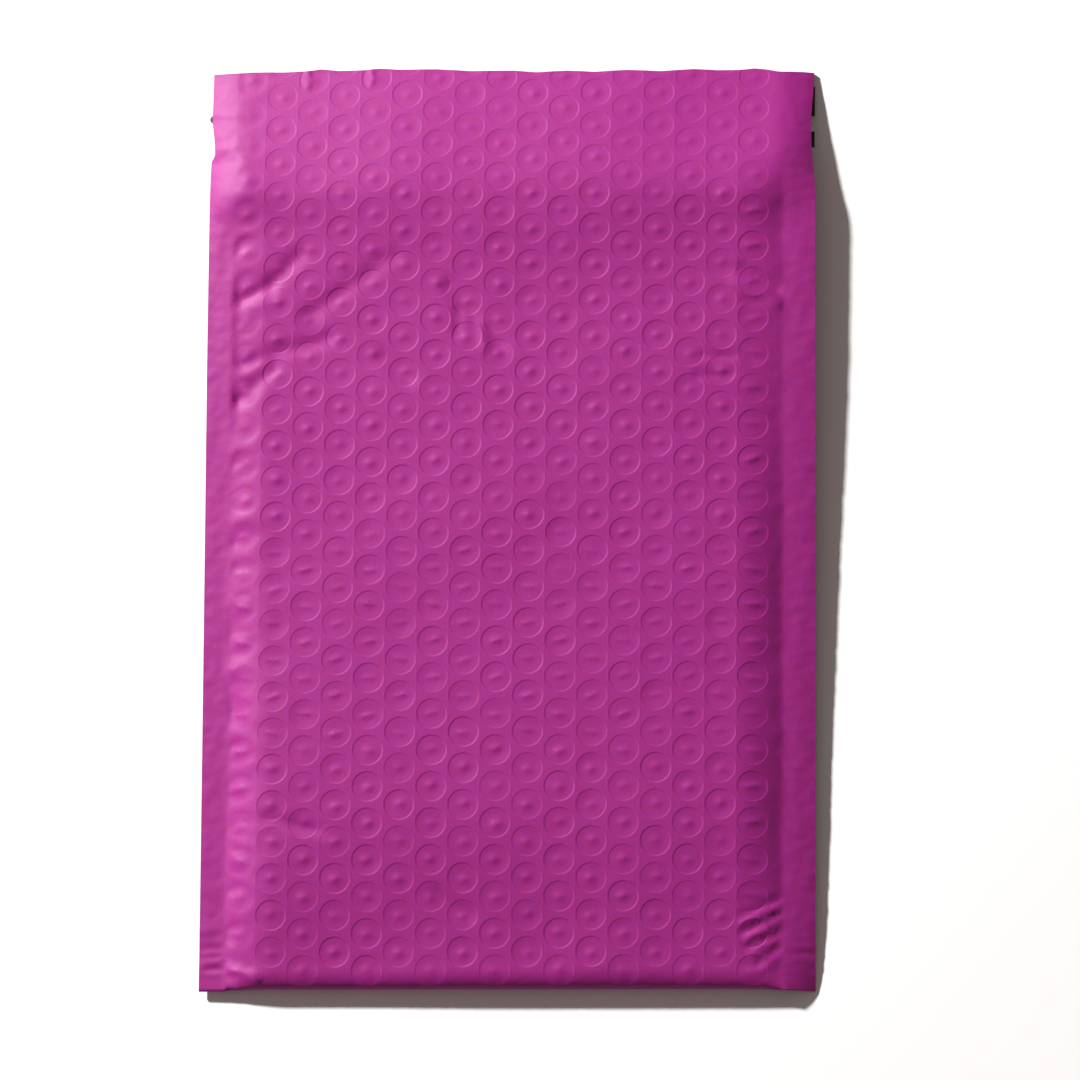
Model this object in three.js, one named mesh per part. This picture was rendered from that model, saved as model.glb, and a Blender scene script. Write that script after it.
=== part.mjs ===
// A padded mailer of opaque film lined with bubbles, lying flat and empty with its flap open.
// One laminate web is folded at the bottom and heat-sealed at both sides. The back panel is on
// top and carries on past the mouth as the flap, whose free end comes down to the surface.
// Millimetres, +X across, +Y from the bottom fold to the flap's free end, +Z up.
import * as THREE from "three";

// The mailer
const WIDTH = 200; // over both side seals
const BODY_LENGTH = 264.5; // from the bottom fold to the mouth
const FLAP_LENGTH = 42.4; // from the mouth to the free end, along the flap
const SHEET = 3; // film with its bubble lining
const LEFT_SEAL = 8.2; // width of the flat side seals
const RIGHT_SEAL = 10;
const SEAL_THICKNESS = 0.9; // two crushed sheets
const FOLD_SETBACK = 1; // the round fold lies this far behind the ends of the seals

// How the empty mailer lies
const FOLD_GAP = 1.3; // space between the two linings at the fold, along the body and at the mouth
const BODY_GAP = 4.4;
const MOUTH_GAP = 5.8;
const MOUTH_RIDGE = 15; // length of the rise to the mouth
const LEFT_SEAL_RISE = 3.2; // top of the seals over the surface at their bottom ends
const RIGHT_SEAL_RISE = 2.6;
const SEAL_TILT = 1; // from a seal's outer edge up to its seam
const LEFT_SEAL_CURVE = 2.4; // how late the seals climb to the mouth
const RIGHT_SEAL_CURVE = 1.6;
const CORNER_DIP = 1.4; // the bottom right corner hangs down
const CORNER_REACH = 8;
const LEFT_SHOULDER = 15; // run of the panels' turn down to the seals
const RIGHT_SHOULDER = 16;
const UNDER_SHOULDER = 16;
const FLAP_SHOULDER = 14; // run of the flap's turn down to its outer edges
const FOLD_REACH = 5; // the round fold is this long
const FOLD_TURN = THREE.MathUtils.degToRad(55); // where the film's first row lies on the round fold

// The bubble lining
const BUBBLE_PITCH_X = 10.416; // from column to column
const BUBBLE_PITCH_Y = 11.9; // along a column, and the next column lies half of this further
const BUBBLE_DIAMETER = 9.8;
const COLUMN_OFFSET = -3.46; // of the column next to the centre line
const FIRST_BUBBLE = 6.4; // lowest bubble of that column, from the fold
const DISH_DEPTH = 0.4; // the film sinks over each bubble, with a nub left in the middle
const NUB_HEIGHT = 0.45;
const UNDER_DISH = 0.25; // the front panel's film, which is pressed flat where the mailer rests
const REST_RADIUS = 24; // of that flat round its middle
const NARROWEST_COLUMN = 0.4; // share of a pitch
const NARROWEST_ROW = 0.3; // share of a half pitch

// The flap's edges
const EDGE_RECESS = 1.3; // the film draws in beside the strips
const LEFT_RECESS = 24; // middle of the drawn edge, from the free end
const LEFT_RECESS_REACH = 10;
const RIGHT_RECESS = 16;
const RIGHT_RECESS_REACH = 14;
const END_WAVE = 0.5; // the free end is cut through bubbles
const END_WAVE_LENGTH = 31;
const END_SLANT = 1.3; // and shorter at its right corner

// The strips under the flap, from its free end along it
const WIDE_STRIP_START = 6;
const WIDE_STRIP = 10.6;
const STRIP_SPACE = 5.6;
const NARROW_STRIP = 5.6;
const ADHESIVE = 0.25; // thickness
const LINER = 0.15;
const LINER_OVERHANG = 2.6; // past the narrow strip, towards the mouth
const LEFT_INSET = 1.3; // of the strips and their liner from the flap's straight edges
const RIGHT_INSET = 0.3;
const TAB_LENGTH = 12.6;
const TAB_REACH = 2.4; // past the flap's straight edge
const TAB_CORNER = 2;
const TAB_CORNER_STEPS = 4;
const CLEARANCE = 0.25; // between the layers

// The pocket
const POCKET_START = 6; // the linings part this far from the fold
const POCKET_MARGIN = 1; // and this far inside the seals
const POCKET_ACROSS = [0, 0.05, 0.15, 0.32, 0.5, 0.68, 0.85, 0.95, 1]; // shares of its width
const POCKET_ALONG = [0, 0.1, 0.3, 0.5, 0.7, 0.85, 0.945, 1]; // shares of its length

// Creases of the upper panel: ends, half width and height in mm, with a dent negative
const CREASES = [
  { from: [-90, 225], to: [-60, 247], reach: 3.6, lift: -1.3 },
  { from: [-86, 219], to: [-58, 237], reach: 4.2, lift: 0.9 },
  { from: [-72, 223], to: [-37, 241], reach: 3.6, lift: -1 },
  { from: [-88, 203], to: [-60, 219], reach: 4, lift: -0.7 },
  { from: [-88, 190], to: [-76, 201], reach: 3.6, lift: -0.8 },
  { from: [-19, 230], to: [-1, 213], reach: 4, lift: -1 },
  { from: [-41, 205], to: [-33, 206], reach: 4, lift: -0.8 },
  { from: [70, 234], to: [84, 230], reach: 3.2, lift: -0.7 },
  { from: [63, 206], to: [78, 203], reach: 3.6, lift: -0.8 },
  { from: [79, 10], to: [88, 27], reach: 3.4, lift: -0.9 },
  { from: [-79, 57], to: [-60, 52], reach: 3.6, lift: -0.8 },
  { from: [-22, 27], to: [-10, 26], reach: 4, lift: -0.5 },
];

const LEFT_EDGE = -WIDTH / 2;
const RIGHT_EDGE = WIDTH / 2;
const LEFT_SEAM = LEFT_EDGE + LEFT_SEAL;
const RIGHT_SEAM = RIGHT_EDGE - RIGHT_SEAL;
const TOTAL_LENGTH = BODY_LENGTH + FLAP_LENGTH;
const FLAP_UNDER = SHEET + MOUTH_GAP; // underside of the flap at the mouth
const FLAP_SLOPE = Math.asin(FLAP_UNDER / FLAP_LENGTH);
const HALF_PITCH = BUBBLE_PITCH_Y / 2;
// With this shift of its middle corners every cell is an even hexagon
const CELL_SHIFT = HALF_PITCH ** 2 / (2 * BUBBLE_PITCH_X);
const HAIR = 1e-6;

const mix = THREE.MathUtils.lerp;
const smooth = THREE.MathUtils.smoothstep;

// Rise of a shoulder over the distance from its foot, from 0 to 1
function shoulder(distance, run) {
  const left = 1 - THREE.MathUtils.clamp(distance / run, 0, 1);
  return 1 - left * left;
}

// Shoulder of both sides, each with its own run
function sideRise(x, leftRun, rightRun) {
  return Math.min(shoulder(x - LEFT_SEAM, leftRun), shoulder(RIGHT_SEAM - x, rightRun));
}

// Shoulder of the upper face, which moves outwards from the body's seams to the flap's edges
function upperRise(x, s) {
  const body = sideRise(x, LEFT_SHOULDER, RIGHT_SHOULDER);
  const flap = Math.min(shoulder(x - LEFT_EDGE, FLAP_SHOULDER), shoulder(RIGHT_EDGE - x, FLAP_SHOULDER));
  return mix(body, flap, smooth(s, BODY_LENGTH - MOUTH_RIDGE, BODY_LENGTH));
}

// Top face of the side seals
function sealTop(x, s) {
  const across = (x - LEFT_EDGE) / WIDTH;
  const outward = Math.max(0, (LEFT_SEAM - x) / LEFT_SEAL, (x - RIGHT_SEAM) / RIGHT_SEAL);
  const foot = mix(LEFT_SEAL_RISE, RIGHT_SEAL_RISE, across) + SEAL_TILT * (1 - outward);
  const climb = Math.min(s / BODY_LENGTH, 1) ** mix(LEFT_SEAL_CURVE, RIGHT_SEAL_CURVE, across);
  const dip = x > RIGHT_SEAM ? CORNER_DIP * outward * Math.exp(-s / CORNER_REACH) : 0;
  return mix(foot, FLAP_UNDER + SEAL_THICKNESS, climb) - dip;
}

// Space between the two linings along the middle
function gapAt(s) {
  const body = mix(FOLD_GAP, BODY_GAP, 1 - (1 - s / BODY_LENGTH) ** 2);
  return mix(body, MOUTH_GAP, smooth(s, BODY_LENGTH - MOUTH_RIDGE, BODY_LENGTH));
}

function flapUnder(s) {
  return (TOTAL_LENGTH - s) * Math.sin(FLAP_SLOPE);
}

// Y of a point that lies s along the back panel
function along(s) {
  return s <= BODY_LENGTH ? s : BODY_LENGTH + (s - BODY_LENGTH) * Math.cos(FLAP_SLOPE);
}

// Height of the creases at a point of the upper panel
function creaseLift(x, s) {
  let lift = 0;
  for (const { from, to, reach, lift: height } of CREASES) {
    const [ax, ay] = from;
    const [dx, dy] = [to[0] - ax, to[1] - ay];
    const t = THREE.MathUtils.clamp(((x - ax) * dx + (s - ay) * dy) / (dx * dx + dy * dy), 0, 1);
    const away = Math.hypot(x - ax - t * dx, s - ay - t * dy) / reach;
    lift += height * Math.exp(-away * away);
  }
  return lift * sideRise(x, LEFT_SHOULDER, RIGHT_SHOULDER);
}

// Outer face of the back panel and its flap, without creases
function topHeight(x, s) {
  const rise = upperRise(x, s);
  if (s > BODY_LENGTH) return flapUnder(s) + mix(SEAL_THICKNESS, SHEET, rise);
  return mix(sealTop(x, s), 2 * SHEET + gapAt(s), rise);
}

// Outer face of the front panel, which lies on the surface
function underHeight(x, s) {
  return (sealTop(x, s) - SEAL_THICKNESS) * (1 - sideRise(x, UNDER_SHOULDER, UNDER_SHOULDER));
}

// How far the flap's side edge draws in beside the strips
function edgeDraw(side, s) {
  const [middle, reach] =
    side < 0 ? [LEFT_RECESS, LEFT_RECESS_REACH] : [RIGHT_RECESS, RIGHT_RECESS_REACH];
  const away = (TOTAL_LENGTH - s - middle) / reach;
  return EDGE_RECESS * smooth(1 - away * away, 0, 1);
}

// How far the free end is cut back between its waves and towards its right corner
function endCut(x, s) {
  if (s < TOTAL_LENGTH - HAIR) return 0;
  const wave = (END_WAVE / 2) * (1 - Math.cos((2 * Math.PI * x) / END_WAVE_LENGTH));
  return wave + (END_SLANT * (x - LEFT_EDGE)) / WIDTH;
}

// One closed surface of numbered corners and triangles
class Skin {
  corners = [];
  faces = [];

  point(x, y, z) {
    return this.corners.push([x, y, z]) - 1;
  }

  // Triangles between two runs of corners, matched along one axis. The face looks up when the
  // first run lies towards -Y and the axis is X, or towards +X and the axis is Y.
  zip(first, second, axis) {
    let [i, j] = [0, 0];
    const at = (run, n) => (n < run.length ? this.corners[run[n]][axis] : Infinity);
    while (i < first.length - 1 || j < second.length - 1) {
      if (at(first, i + 1) <= at(second, j + 1)) {
        this.faces.push([first[i], first[i + 1], second[j]]);
        i += 1;
      } else {
        this.faces.push([first[i], second[j + 1], second[j]]);
        j += 1;
      }
    }
  }

  // Triangles from one corner to a closed ring of corners
  fan(centre, ring) {
    ring.forEach((corner, i) => this.faces.push([centre, corner, ring[(i + 1) % ring.length]]));
  }

  geometry() {
    const geometry = new THREE.BufferGeometry();
    geometry.setAttribute("position", new THREE.Float32BufferAttribute(this.corners.flat(), 3));
    geometry.setIndex(this.faces.flat());
    geometry.computeVertexNormals();
    return geometry;
  }
}

// Seams between the bubble columns, from one side seal to the other
const narrowest = NARROWEST_COLUMN * BUBBLE_PITCH_X;
const seamNumber = (x) => (x - COLUMN_OFFSET) / BUBBLE_PITCH_X - 0.5;
const firstColumn = Math.ceil(seamNumber(LEFT_SEAM + narrowest));
const seams = [LEFT_SEAM];
for (let n = firstColumn; n <= seamNumber(RIGHT_SEAM - narrowest); n++) {
  seams.push(COLUMN_OFFSET + (n + 0.5) * BUBBLE_PITCH_X);
}
seams.push(RIGHT_SEAM);

// Every other column has its bubbles on the odd rows, as the centre column has
function firstBubbleRow(column) {
  return Math.abs(firstColumn + column) % 2 ? 0 : 1;
}

// Rows half a pitch apart from the fold to an end, the first one on the fold's round
function rowsTo(end) {
  const rows = [FOLD_SETBACK + FOLD_REACH * (1 - Math.cos(FOLD_TURN))];
  const last = end - NARROWEST_ROW * HALF_PITCH;
  for (let s = FIRST_BUBBLE; s < last; s += HALF_PITCH) rows.push(s);
  return [...rows, end];
}

// A panel's field of six-sided cells between the side seals, as its rows of shared corners
function bubbleField(rows, place, addCell, addQuad) {
  const runs = seams.map((seam, j) =>
    rows.map((s, r) => {
      const straight = j === 0 || j === seams.length - 1;
      const side = r % 2 === firstBubbleRow(j) ? -1 : 1;
      return place(seam + (straight ? 0 : side * CELL_SHIFT), s, 0);
    }),
  );
  for (let j = 0; j < seams.length - 1; j++) {
    const [left, right] = [runs[j], runs[j + 1]];
    for (let r = 0; r < rows.length - 1; r++) {
      const centred = r % 2 === firstBubbleRow(j);
      if (centred ? r === 0 : r === rows.length - 2) {
        addQuad([right[r], right[r + 1], left[r + 1], left[r]]);
      } else if (centred) {
        const ring = [right[r], right[r + 1], left[r + 1], left[r], left[r - 1], right[r - 1]];
        addCell(ring, j, r);
      }
    }
  }
  return rows.map((_, r) => runs.map((run) => run[r]));
}

const pouch = new Skin();

// Front line of the round fold, set back between the seals
function foldFront(x) {
  return FOLD_SETBACK * sideRise(x, LEFT_SHOULDER, RIGHT_SHOULDER);
}

// A corner on the round fold, above or below its front line
function placeOnFold(x, side) {
  const [low, high] = [underHeight(x, 0), topHeight(x, 0)];
  const radius = (high - low) / 2;
  const y = foldFront(x) + FOLD_REACH * (1 - Math.cos(FOLD_TURN));
  return pouch.point(x, y, low + radius * (1 + side * Math.sin(FOLD_TURN)));
}

// The back panel and its flap
const topRows = rowsTo(TOTAL_LENGTH);
function placeTop(x, s, lift) {
  if (s === topRows[0]) return placeOnFold(x, 1);
  const back = s - endCut(x, s);
  return pouch.point(x, along(back), topHeight(x, back) + creaseLift(x, back) + lift);
}

// A whole cell is a dished ring with a nub in it, and a cell cut by a seal is one dish
function addTopCell(corners, column, r) {
  const x = (seams[column] + seams[column + 1]) / 2;
  const s = topRows[r];
  if (column === 0 || column === seams.length - 2) {
    pouch.fan(placeTop(x, s, -DISH_DEPTH), corners);
    return;
  }
  const radius = BUBBLE_DIAMETER / 2;
  const ring = corners.map((_, i) => {
    const turn = (i * 2 * Math.PI) / corners.length;
    const room = Math.sin(turn) > 0 ? topRows[r + 1] - s : s - topRows[r - 1];
    const reach = radius * Math.min(1, room / HALF_PITCH);
    return placeTop(x + radius * Math.cos(turn), s + reach * Math.sin(turn), -DISH_DEPTH);
  });
  pouch.fan(placeTop(x, s, NUB_HEIGHT - DISH_DEPTH), ring);
  corners.forEach((corner, i) => {
    const next = (i + 1) % corners.length;
    pouch.faces.push([ring[i], corner, corners[next]], [ring[i], corners[next], ring[next]]);
  });
}
const topField = bubbleField(topRows, placeTop, addTopCell, ([a, b, c, d]) =>
  pouch.faces.push([a, b, c], [a, c, d]),
);

// The front panel, with plain dishes round the flat that the mailer rests on
const underRows = rowsTo(BODY_LENGTH);
function placeUnder(x, s, lift) {
  if (s === underRows[0]) return placeOnFold(x, -1);
  return pouch.point(x, s, underHeight(x, s) + lift);
}
function addUnderCell(corners, column, r) {
  const x = (seams[column] + seams[column + 1]) / 2;
  const s = underRows[r];
  const resting = Math.hypot(x, s - BODY_LENGTH / 2) < REST_RADIUS;
  pouch.fan(placeUnder(x, s, resting ? 0 : UNDER_DISH), [...corners].reverse());
}
const underField = bubbleField(underRows, placeUnder, addUnderCell, ([a, b, c, d]) =>
  pouch.faces.push([a, c, b], [a, d, c]),
);

// The side seals, with their top face in two strips
const flapEdge = (side, s) => side * (WIDTH / 2 - (s > BODY_LENGTH ? edgeDraw(side, s) : 0));
const topLeft = topRows.map((s) => placeTop(flapEdge(-1, s), s, 0));
const topRight = topRows.map((s) => placeTop(flapEdge(1, s), s, 0));
const topMidLeft = topRows.map((s) => placeTop(LEFT_EDGE + LEFT_SEAL / 2, s, 0));
const topMidRight = topRows.map((s) => placeTop(RIGHT_EDGE - RIGHT_SEAL / 2, s, 0));
const underLeft = underRows.map((s) => placeUnder(LEFT_EDGE, s, 0));
const underRight = underRows.map((s) => placeUnder(RIGHT_EDGE, s, 0));
const seamOf = (field, at) => field.map((row) => row.at(at));
pouch.zip(topMidLeft, topLeft, 1);
pouch.zip(seamOf(topField, 0), topMidLeft, 1);
pouch.zip(topMidRight, seamOf(topField, -1), 1);
pouch.zip(topRight, topMidRight, 1);
pouch.zip(underLeft, seamOf(underField, 0), 1);
pouch.zip(seamOf(underField, -1), underRight, 1);

// The fold's front line
const topWidth = (r) => [
  topLeft.at(r),
  topMidLeft.at(r),
  ...topField.at(r),
  topMidRight.at(r),
  topRight.at(r),
];
const front = topWidth(0).map((corner) => {
  const [x] = pouch.corners[corner];
  return pouch.point(x, foldFront(x), (underHeight(x, 0) + topHeight(x, 0)) / 2);
});
pouch.zip(front, topWidth(0), 0);
pouch.zip([underLeft[0], ...underField[0], underRight[0]], front, 0);

// The pocket: two linings that meet along the side seals and behind the fold
const pocketX = POCKET_ACROSS.map((t) =>
  mix(LEFT_SEAM + POCKET_MARGIN, RIGHT_SEAM - POCKET_MARGIN, t),
);
const pocketRows = POCKET_ALONG.map((t) => mix(POCKET_START, BODY_LENGTH, t));
const lastX = pocketX.length - 1;
const lastRow = pocketRows.length - 1;
function liningHeight(x, s, side) {
  const open = sideRise(x, LEFT_SHOULDER, RIGHT_SHOULDER) ** 2;
  return (topHeight(x, s) + underHeight(x, s) + side * gapAt(s) * open) / 2;
}
const lower = pocketRows.map((s, r) =>
  pocketX.map((x, i) => {
    const corner = r === lastRow && (i === 0 || i === lastX);
    return pouch.point(x, s, corner ? FLAP_UNDER : liningHeight(x, s, -1));
  }),
);
const upper = pocketRows.map((s, r) =>
  pocketX.map((x, i) => {
    if (r === 0 || i === 0 || i === lastX) return lower[r][i];
    return pouch.point(x, s, r === lastRow ? FLAP_UNDER : liningHeight(x, s, 1));
  }),
);
for (let r = 0; r < lastRow; r++) {
  pouch.zip(lower[r], lower[r + 1], 0);
  pouch.zip(upper[r + 1], upper[r], 0);
}

// The front panel's edge at the mouth
const lip = underField.at(-1);
pouch.zip(lower[lastRow], lip, 0);

// The flap's flat underside, row by row from the mouth to its free end
function below(corner) {
  const [x, y] = pouch.corners[corner];
  const s = BODY_LENGTH + (y - BODY_LENGTH) / Math.cos(FLAP_SLOPE);
  return pouch.point(x, y, flapUnder(s));
}
const flapStart = topRows.findIndex((s) => s > BODY_LENGTH + HAIR);
const belowRows = [
  [underLeft.at(-1), lip[0], ...upper[lastRow], lip.at(-1), underRight.at(-1)],
  ...topLeft.slice(flapStart, -1).map((corner, r) => [corner, topRight[flapStart + r]].map(below)),
  topWidth(-1).map(below),
];
belowRows.slice(1).forEach((row, r) => pouch.zip(row, belowRows[r], 0));
pouch.zip(topWidth(-1), belowRows.at(-1), 0);

// The outer walls of the side seals and of the flap's side edges
const endsOf = (at) => belowRows.slice(1).map((row) => row.at(at));
pouch.zip(topLeft, [front[0], ...underLeft, ...endsOf(0)], 1);
pouch.zip([front.at(-1), ...underRight, ...endsOf(-1)], topRight, 1);

function named(name, geometry, finish) {
  const mesh = new THREE.Mesh(geometry, new THREE.MeshStandardMaterial(finish));
  mesh.name = name;
  return mesh;
}

// Under the flap, X runs across, Y from the free end to the mouth, and Z away from the flap
const underFlap = new THREE.Group();
underFlap.position.y = along(TOTAL_LENGTH);
underFlap.rotation.x = Math.PI - FLAP_SLOPE;

function layer(name, shape, z, thickness, finish) {
  const geometry = new THREE.ExtrudeGeometry(shape, {
    depth: thickness,
    bevelEnabled: false,
    curveSegments: TAB_CORNER_STEPS,
  });
  geometry.translate(0, 0, z);
  underFlap.add(named(name, geometry, finish));
}

const stripLeft = LEFT_EDGE + LEFT_INSET;
const stripRight = RIGHT_EDGE - RIGHT_INSET;
function stripShape(start, end) {
  const corners = [
    [stripLeft, start],
    [stripRight, start],
    [stripRight, end],
    [stripLeft, end],
  ];
  return new THREE.Shape(corners.map(([x, y]) => new THREE.Vector2(x, y)));
}

const wideEnd = WIDE_STRIP_START + WIDE_STRIP;
const narrowStart = wideEnd + STRIP_SPACE;
const narrowEnd = narrowStart + NARROW_STRIP;
const adhesive = { color: 0x1b191b, roughness: 0.5, metalness: 0 };
layer("wide_adhesive_strip", stripShape(WIDE_STRIP_START, wideEnd), CLEARANCE, ADHESIVE, adhesive);
layer("narrow_adhesive_strip", stripShape(narrowStart, narrowEnd), CLEARANCE, ADHESIVE, adhesive);

// The release liner with its rounded finger tab
function linerShape(start, end) {
  const tip = LEFT_EDGE - TAB_REACH;
  const shape = new THREE.Shape();
  shape.moveTo(stripLeft, start);
  shape.lineTo(stripRight, start);
  shape.lineTo(stripRight, end);
  shape.lineTo(tip + TAB_CORNER, end);
  shape.absarc(tip + TAB_CORNER, end - TAB_CORNER, TAB_CORNER, Math.PI / 2, Math.PI);
  const tabStart = end - TAB_LENGTH;
  shape.absarc(tip + TAB_CORNER, tabStart + TAB_CORNER, TAB_CORNER, Math.PI, 1.5 * Math.PI);
  shape.lineTo(stripLeft, tabStart);
  return shape;
}
const liner = { color: 0xf3f3f1, roughness: 0.35, metalness: 0 };
const linerZ = 2 * CLEARANCE + ADHESIVE;
layer("release_liner", linerShape(WIDE_STRIP_START, narrowEnd + LINER_OVERHANG), linerZ, LINER, liner);

const film = { color: 0xa82e8a, roughness: 0.45, metalness: 0 };
const mailer = new THREE.Group();
mailer.add(named("pouch", pouch.geometry(), film), underFlap);

// The origin is the middle of the mailer's footprint, on the surface
const extent = new THREE.Box3().setFromObject(mailer, true);
const centre = extent.getCenter(new THREE.Vector3());
mailer.position.set(-centre.x, -centre.y, -extent.min.z);
const root = new THREE.Group();
root.add(mailer);

export default root;
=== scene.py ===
"""An empty padded mailer of magenta film with a bubble lining, lying flat with its flap open.

The folded and side-sealed sheet is one piece. It is laid out flat, as a field of six-sided
bubble cells, and then folded round the bottom and given its height. Under the flap lie two
adhesive strips and the release liner that covers them. Metres, +Z up, +Y towards the flap.
"""

import math

import bmesh
import bpy
import numpy as np
from bpy.props import FloatProperty, FloatVectorProperty, PointerProperty
from mathutils import Matrix, Vector, noise


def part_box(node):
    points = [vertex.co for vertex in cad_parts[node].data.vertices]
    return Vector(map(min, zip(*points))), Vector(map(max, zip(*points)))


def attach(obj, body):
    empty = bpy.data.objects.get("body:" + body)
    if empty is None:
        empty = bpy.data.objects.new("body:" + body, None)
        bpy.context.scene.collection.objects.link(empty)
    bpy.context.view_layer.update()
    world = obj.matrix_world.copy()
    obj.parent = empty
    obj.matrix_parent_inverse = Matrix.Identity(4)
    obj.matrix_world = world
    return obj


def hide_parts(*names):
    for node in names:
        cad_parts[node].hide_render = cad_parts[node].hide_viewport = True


bl_info = {
    "name": "Padded Mailer",
    "version": (1, 0, 0),
    "blender": (4, 5, 0),
    "location": "3D View > Sidebar > Mailer",
    "description": "Makes an empty bubble-lined film mailer with its strips, liner and stage",
    "category": "Add Mesh",
}

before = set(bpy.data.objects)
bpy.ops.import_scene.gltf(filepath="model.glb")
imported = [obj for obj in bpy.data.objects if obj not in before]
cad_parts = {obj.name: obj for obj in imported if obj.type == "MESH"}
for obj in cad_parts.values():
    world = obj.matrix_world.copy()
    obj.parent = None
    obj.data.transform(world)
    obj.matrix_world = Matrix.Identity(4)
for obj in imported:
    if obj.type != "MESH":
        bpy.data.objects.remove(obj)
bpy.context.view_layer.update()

MM = 0.001
POUCH_LOW, POUCH_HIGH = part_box("pouch")

# How the empty mailer lies: the gaps are the room between its two linings
FOLD_SETBACK = 0.6 * MM  # the padded fold stays back from the ends of the seals
FOLD_REACH = 6.5 * MM  # the round fold is this long
FOLD_GAP = 1.3 * MM
FOLD_SAG = (1.1 * MM, 0.7 * MM)  # the empty fold lies flatter, at the left and at the right
SAG_REACH = 30 * MM  # it fades over this length
SAG_CHANGE = (-60 * MM, 0)  # across: here the left's sag becomes the right's
BODY_GAP = 3.8 * MM
BODY_DOME = 2.4 * MM  # the body's middle arches
DOME_START = 60 * MM  # the arch grows over this length from the bottom
MOUTH_GAP = 5.8 * MM
MOUTH_RIDGE = 15 * MM  # the mouth stands up from the body over this length
MOUTH_ROUND = 0.5 * MM
LEFT_SEAL_RISE = 2.7 * MM  # the seals' outer edges over the floor at the bottom
RIGHT_SEAL_RISE = 2.6 * MM
LEFT_TILT = (0.2 * MM, 1.7 * MM)  # rise from edge to seam, at the bottom and at the mouth
RIGHT_TILT = (1.9 * MM, 0.7 * MM)
RIGHT_ROLL = 1.5  # 1 is a flat seal, and more rolls its edge down
SEAL_CURVE = 1.5  # 1 is a straight rise to the mouth, and more stays low for longer
CORNER_DIP = 1.9 * MM  # the right seal hangs by this at the bottom corner
CORNER_REACH = 12 * MM
LEFT_SHOULDER = (16 * MM, 11.5 * MM)  # length at the bottom and at the mouth
RIGHT_SHOULDER = 16 * MM
UNDER_SHOULDER = 16 * MM
FLAP_SHOULDER = 14 * MM
LEFT_SPREAD = (-26 * MM, 0)  # from the mouth: here the shoulders move outwards
RIGHT_SPREAD = (-14 * MM, 14 * MM)
LEFT_FOOT = (  # mm along, and mm from the left seam to the foot of its shoulder
    (0, 0.48), (45, 0.6), (65, 1.2), (85, 0.72), (97, 1.8), (105, -0.48), (119, 1.68),
    (126, -0.6), (143, 0), (147, 1.56), (154, -0.36), (170, 2.04), (177, -0.36), (193, 2.04),
    (203, 0.48), (216, 1.92), (223, 0.9), (228, 2.04), (238, -0.72), (248, 1.2), (255, 1.8),
    (265, 0.6),
)
RIGHT_FOOT = 0.6 * MM
RIGHT_WAVER = 0.2 * MM  # the right foot wavers by this
WAVER_LENGTHS = (2.1 * MM, 8.3 * MM)
FOOT_REACH = 7 * MM  # a shifted foot pulls at its shoulder over this length
FOOT_ROUND = 0.6 * MM
FLAP_DROOP = (  # mm past the mouth, and mm that the left side edge hangs there
    (-60, 0), (-20, 1.6), (0, 2.5), (5, 2.7), (10, 2.6), (20, 1.5), (30, 0.8), (43, 0),
)
RIGHT_DROOP = 0.7  # share of it at the right edge
FLAP_CROWN = 4 * MM  # the flap's middle arches
CROWN_RUN = 40 * MM  # its arch starts this far before the mouth
HAIR = 0.01 * MM  # between the two sealed layers
LIFT_OFF = 0.02 * MM  # the underside's lowest points over the floor

# The flap's edges
LEFT_RECESS = (  # mm from the free end, and mm that the side edge draws in there
    (17, 0), (21, 0.6), (25, 1.1), (28.5, 1.3), (29.8, 0.8), (31, 0),
)
RIGHT_RECESS = ((0, 0.5), (8, 0.8), (14, 1.3), (20, 1.5), (27, 1.3), (36, 0.6), (42, 0))
FREE_END = (  # mm across, and mm that the free end is cut back there
    (-100, -0.4), (-92, -0.25), (-87, -0.4), (-76, -0.1), (-68, -0.25), (-64, -0.85),
    (-58, -0.1), (-49, -0.15), (-44, -0.6), (-38, -0.1), (-25, -0.05), (-14, 0.75), (0, 0.8),
    (8, 1.5), (18, 1), (27, 1.5), (38, 0.9), (49, 1.4), (60, 0.6), (68, 1), (75, 0.9),
    (80, 0.3), (84, 0.7), (88, 1.5), (96, 1.3), (100, 1.4),
)
FREE_END_DEPTH = 4 * MM  # the cut draws the sheet over this length

# The bubble lattice
COLUMN_OFFSET = -3.46 * MM  # across: the middle of one bubble column
FIRST_BUBBLE = 6.4 * MM  # from the fold: the middle of its first bubble
LAST_COLUMN = 8  # it lies beside the right seal
HEXAGON = math.sqrt(3) / 2  # a hexagon's middle to its side, with corners at 1
CELL_SEGMENTS = 24  # round a bubble
LINING_SEGMENTS = 18
MOST_ROWS = 1000  # more than a column has
DISC_RINGS = (4.6 * MM, 5.1 * MM)  # foot and brim of a disc's step
TOP_RINGS = (0.8 * MM, 1.7 * MM, 3 * MM, *DISC_RINGS)
SEAM_RINGS = (1.1 * MM, 2.3 * MM, 3.5 * MM, 4.5 * MM, 5.15 * MM)  # beside the seams
UNDER_RINGS = (4.9 * MM,)  # on the front panel and on the flap's inner face
NO_RINGS = ()
TOP_START = 3 * MM  # from the fold: the discs of the back panel start here
UNDER_START = -14 * MM  # and those of the front panel here
SNAP = 0.2 * MM  # corners nearer than this to a cut are moved onto it
MERGE = 0.01 * MM  # corners nearer than this become one
FLANGE_STEPS = 7  # rows of faces across a seal
FLANGE_EDGE = 1.2 * MM  # longest edge along a seal
MOST_CUTS = 7
RANDOM_SEED = 7

# How the bubbles differ: the least and the most share of a step's, bowl's and nub's height
STEP_SPREAD = (0.7, 1.3)
BOWL_SPREAD = (0.4, 1.5)
NUB_SPREAD = (0.6, 1.2)
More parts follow.
